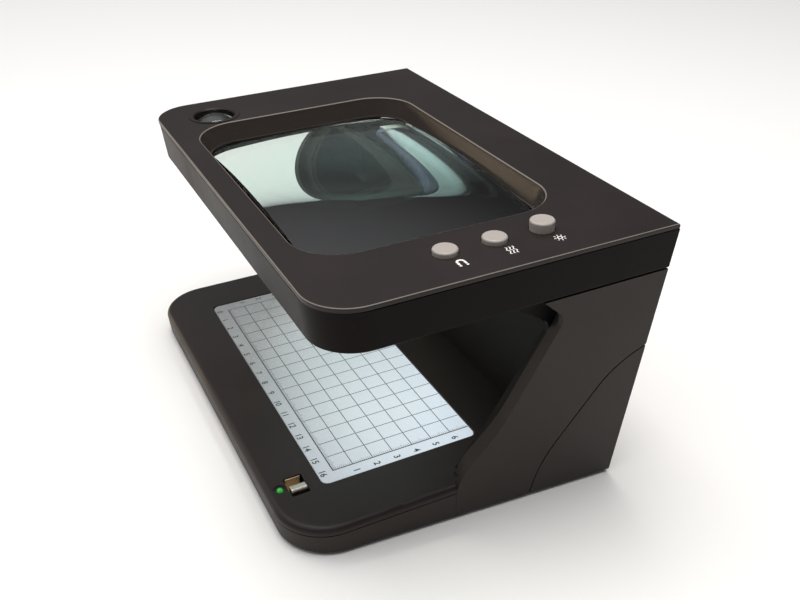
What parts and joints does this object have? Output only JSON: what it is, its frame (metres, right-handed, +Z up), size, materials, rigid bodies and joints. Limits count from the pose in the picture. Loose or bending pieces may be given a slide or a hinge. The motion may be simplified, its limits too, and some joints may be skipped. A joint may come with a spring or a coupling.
{
  "type": "video magnifier",
  "caption": "Desk magnifier for checking banknotes: large lens in a head over a lit, ruled plate, with small loupe, three push buttons and a read head.",
  "frame": {"origin": "middle of the footprint on the table, directly under the object's bounding box centre", "axes": "+X to the user's right along the wide side, +Y away from the user towards the column, +Z up. The light plate and the head rise 4.15 degrees towards +Y."},
  "size_m": [0.2528, 0.1674, 0.1371],
  "materials": {
    "shell_dark": "fine-textured injection-moulded ABS",
    "cheek_grey": "fine-textured injection-moulded ABS",
    "plate_white": "opal acrylic, printed",
    "guide_clear": "clear acrylic",
    "board_green": "solder-masked glass-fibre board",
    "lamp_white": "clear resin over phosphor",
    "lamp_green": "green tinted epoxy",
    "sensor_steel": "ground and lapped",
    "spring_bronze": "rolled phosphor bronze",
    "black_part": "moulded component body",
    "foot_rubber": "moulded rubber",
    "screw_steel": "zinc-plated",
    "lens_glass": "polished",
    "filter_violet": "dyed glass",
    "tube_glass": "phosphor-coated tube",
    "holder_white": "moulded nylon",
    "reflector_alu": "bright rolled sheet",
    "button_grey": "moulded ABS"
  },
  "bodies": {
    "housing": {"base_lower_shell": "shell_dark", "base_top_cover": "shell_dark", "light_plate": "plate_white", "light_guide": "guide_clear", "backlight_board": "board_green", "backlight_leds": "lamp_white", "sensor_board": "board_green", "magnetic_head_spring": "spring_bronze", "status_led": "lamp_green", "main_board": "board_green", "lamp_inverter": "black_part", "buzzer": "black_part", "dc_inlet": "black_part", "rubber_feet": "foot_rubber", "base_screws": "screw_steel", "cheek_right": "cheek_grey", "cheek_left": "cheek_grey", "liner_right": "shell_dark", "liner_left": "shell_dark", "lamp_housing_panel": "shell_dark", "uv_filter": "filter_violet", "uv_tube": "tube_glass", "tube_holders": "holder_white", "lamp_reflector": "reflector_alu", "rear_cover": "cheek_grey", "rear_screws": "screw_steel", "head_tray": "shell_dark", "head_cover": "shell_dark", "main_lens": "lens_glass", "lens_frame": "shell_dark", "lens_frame_screws": "screw_steel", "loupe_barrel": "shell_dark", "loupe_lens": "lens_glass", "button_board": "board_green", "switch_magnetic": "black_part", "switch_watermark": "black_part", "switch_ultraviolet": "black_part", "head_screws": "screw_steel", "column_screws": "screw_steel"},
    "read_head": {"magnetic_head": "sensor_steel"},
    "magnetic_button": {"button_magnetic": "button_grey"},
    "watermark_button": {"button_watermark": "button_grey"},
    "ultraviolet_button": {"button_ultraviolet": "button_grey"}
  },
  "joints": [
    {"name": "magnetic_button_travel", "type": "slide", "parent": "housing", "child": "magnetic_button", "axis": [0, -0.0724, 0.9974], "range_m": [0, 0.0021]},
    {"name": "watermark_button_travel", "type": "slide", "parent": "housing", "child": "watermark_button", "axis": [0, -0.0724, 0.9974], "range_m": [0, 0.0021]},
    {"name": "ultraviolet_button_travel", "type": "slide", "parent": "housing", "child": "ultraviolet_button", "axis": [0, -0.0724, 0.9974], "range_m": [-0.0029, 0], "stiffness_N_per_m": 300, "springref_m": 0.002},
    {"name": "read_head_travel", "type": "slide", "parent": "housing", "child": "read_head", "axis": [0, -0.0724, 0.9974], "range_m": [-0.0005, 0], "stiffness_N_per_m": 600, "springref_m": 0.0005}
  ]
}
